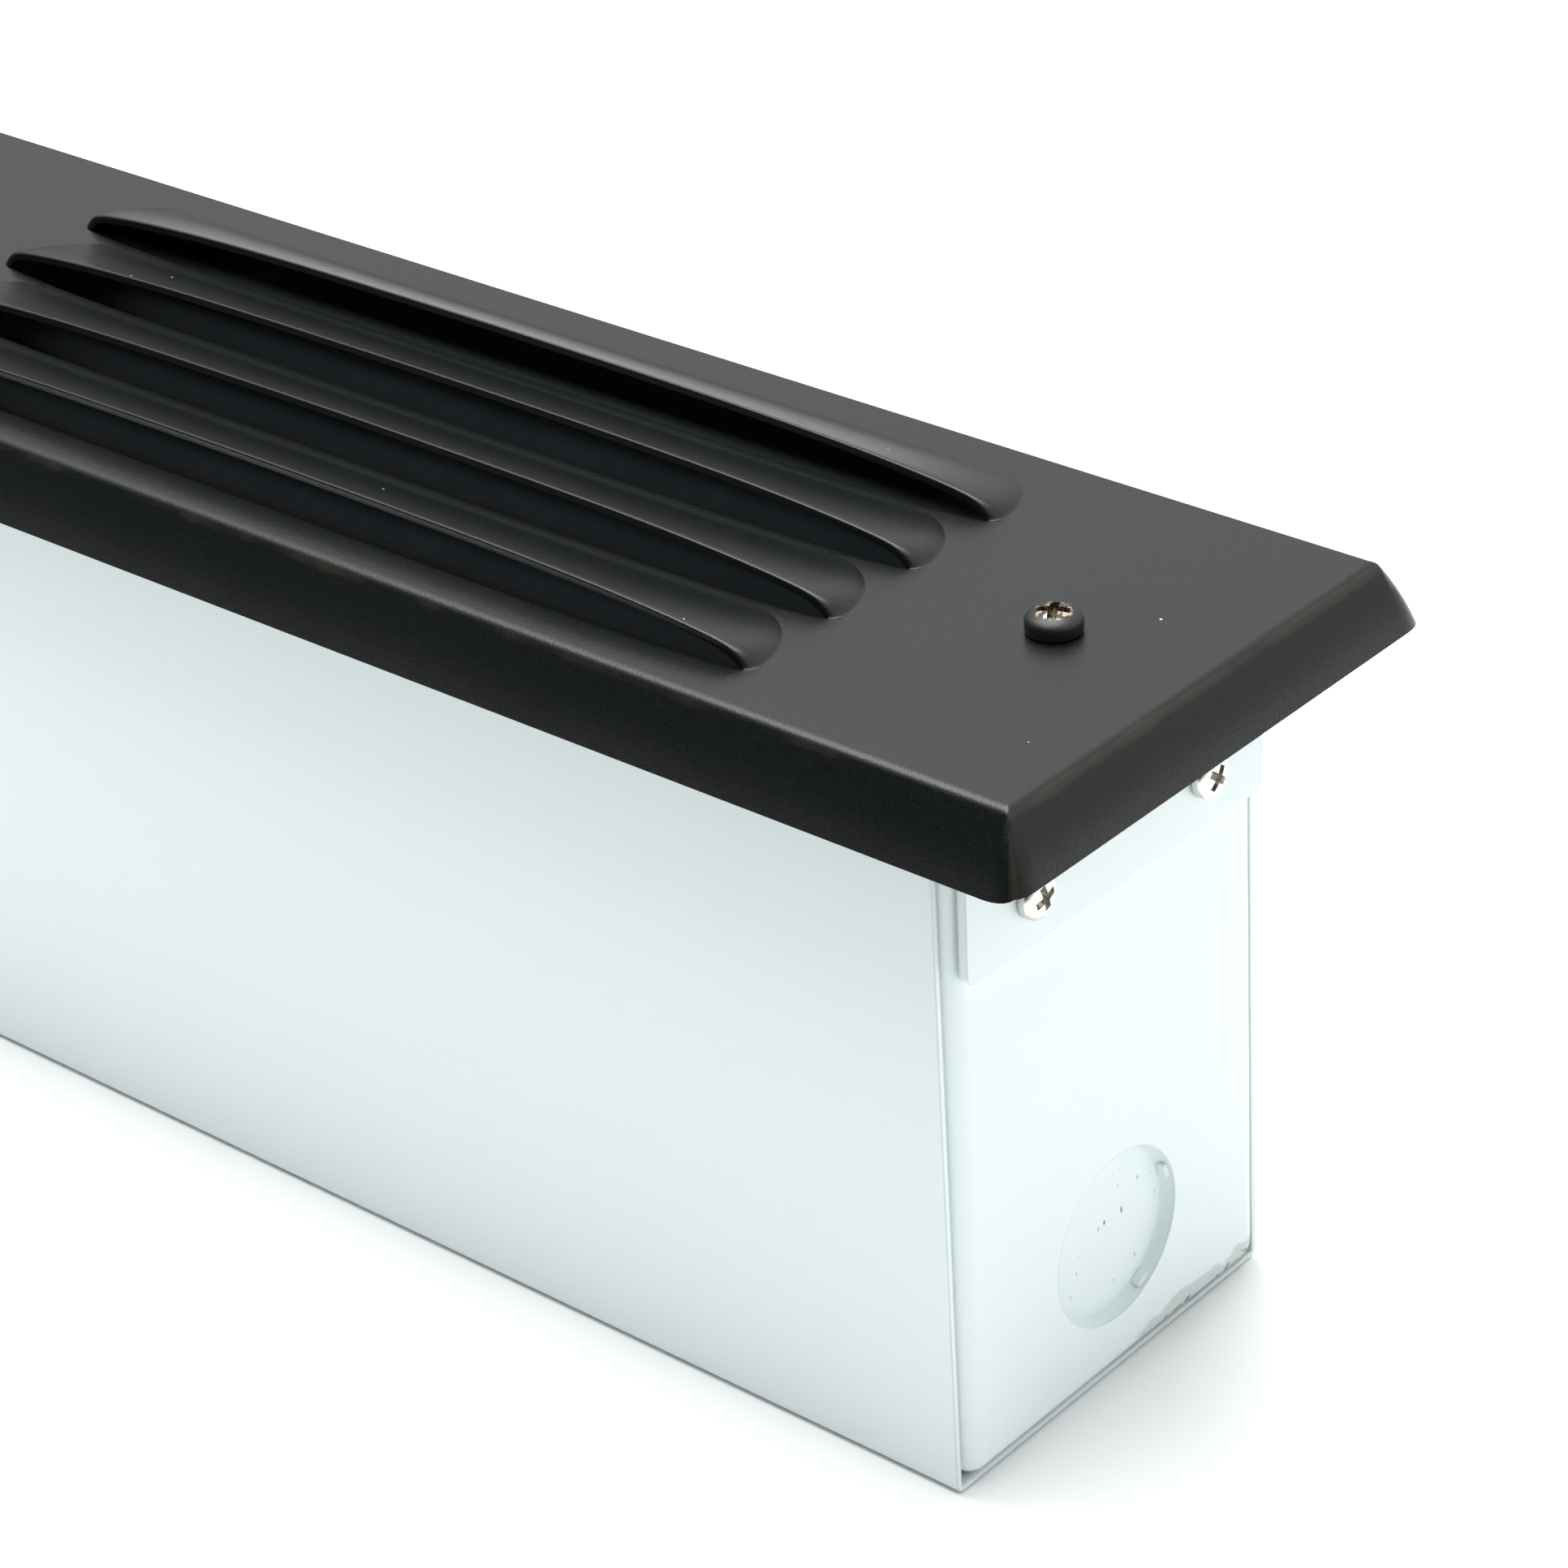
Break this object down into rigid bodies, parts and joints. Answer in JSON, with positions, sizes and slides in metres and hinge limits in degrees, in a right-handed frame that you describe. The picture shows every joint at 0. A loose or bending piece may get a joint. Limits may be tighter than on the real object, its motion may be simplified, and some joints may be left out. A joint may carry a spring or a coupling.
{
  "type": "recessed louvred brick light",
  "caption": "Recessed brick-size light: white sheet metal housing with knockouts, end brackets, LED gear and a flanged black cover with hooded louvres.",
  "frame": {"origin": "centre of the footprint, on the underside of the housing", "axes": "+X along the length, +Z out through the cover, the louvres open towards -Y"},
  "size_m": [0.2392, 0.0734, 0.1011],
  "materials": {
    "cover_black": "satin black paint, worn on the folds",
    "housing_white": "smooth white enamel",
    "bracket_white": "smooth white enamel",
    "screw_black": "black finish worn to bright metal in the recess",
    "screw_zinc": "bright zinc plate",
    "tray_white": "white reflector enamel",
    "lens_frost": "smoked, frosted",
    "gasket_rubber": "matt",
    "clip_steel": "spring steel",
    "board_white": "white solder mask",
    "led_yellow": "phosphor",
    "terminal_white": "moulded",
    "driver_case": "moulded",
    "driver_board": "green solder mask",
    "lead_black": "wire insulation",
    "lead_white": "wire insulation",
    "lead_green": "wire insulation",
    "lead_red": "wire insulation",
    "nut_orange": "moulded",
    "earth_green": "green dyed screw",
    "ring_copper": "plain"
  },
  "bodies": {
    "housing": {"housing_channel": "housing_white", "end_cap_right": "housing_white", "end_cap_left": "housing_white", "mount_bracket_right": "bracket_white", "mount_bracket_left": "bracket_white", "reflector_tray": "tray_white", "lens_gasket": "gasket_rubber", "diffuser_lens": "lens_frost", "lens_clip_1": "clip_steel", "lens_clip_2": "clip_steel", "lens_clip_3": "clip_steel", "lens_clip_4": "clip_steel", "led_board": "board_white", "led_board_screw_1": "screw_zinc", "led_board_screw_2": "screw_zinc", "led_emitter_1": "led_yellow", "led_emitter_2": "led_yellow", "led_emitter_3": "led_yellow", "led_emitter_4": "led_yellow", "led_emitter_5": "led_yellow", "led_emitter_6": "led_yellow", "led_terminal": "terminal_white", "tray_grommet": "gasket_rubber", "driver_case": "driver_case", "driver_lid": "driver_case", "driver_board": "driver_board", "driver_screw_1": "screw_zinc", "driver_screw_2": "screw_zinc", "line_wire_nut": "nut_orange", "neutral_wire_nut": "nut_orange", "earth_wire_nut": "nut_orange", "line_lead": "lead_black", "neutral_lead": "lead_white", "earth_lead": "lead_green", "earth_ring": "ring_copper", "earth_screw": "earth_green", "led_lead_positive": "lead_red", "led_lead_negative": "lead_black"},
    "cover": {"louvre_cover": "cover_black"},
    "cover_screw_right": {"cover_screw_right": "screw_black"},
    "cover_screw_left": {"cover_screw_left": "screw_black"},
    "bracket_screw_right_front": {"bracket_screw_right_front": "screw_zinc"},
    "bracket_screw_right_back": {"bracket_screw_right_back": "screw_zinc"},
    "bracket_screw_left_front": {"bracket_screw_left_front": "screw_zinc"},
    "bracket_screw_left_back": {"bracket_screw_left_back": "screw_zinc"}
  },
  "joints": [
    {"name": "cover_lift", "type": "slide", "parent": "housing", "child": "cover", "axis": [0, 0, 1], "range_m": [0, 0.06]},
    {"name": "cover_screw_right_turn", "type": "hinge", "parent": "cover", "child": "cover_screw_right", "pos_m": [0.0965, 0, 0.0966], "axis": [0, 0, 1], "continuous": true},
    {"name": "cover_screw_left_turn", "type": "hinge", "parent": "cover", "child": "cover_screw_left", "pos_m": [-0.0965, 0, 0.0966], "axis": [0, 0, 1], "continuous": true},
    {"name": "bracket_screw_right_front_turn", "type": "hinge", "parent": "housing", "child": "bracket_screw_right_front", "pos_m": [0.105, -0.0156, 0.074], "axis": [1, 0, 0], "continuous": true},
    {"name": "bracket_screw_right_back_turn", "type": "hinge", "parent": "housing", "child": "bracket_screw_right_back", "pos_m": [0.105, 0.0156, 0.074], "axis": [1, 0, 0], "continuous": true},
    {"name": "bracket_screw_left_front_turn", "type": "hinge", "parent": "housing", "child": "bracket_screw_left_front", "pos_m": [-0.105, -0.0156, 0.074], "axis": [-1, 0, 0], "continuous": true},
    {"name": "bracket_screw_left_back_turn", "type": "hinge", "parent": "housing", "child": "bracket_screw_left_back", "pos_m": [-0.105, 0.0156, 0.074], "axis": [-1, 0, 0], "continuous": true}
  ]
}
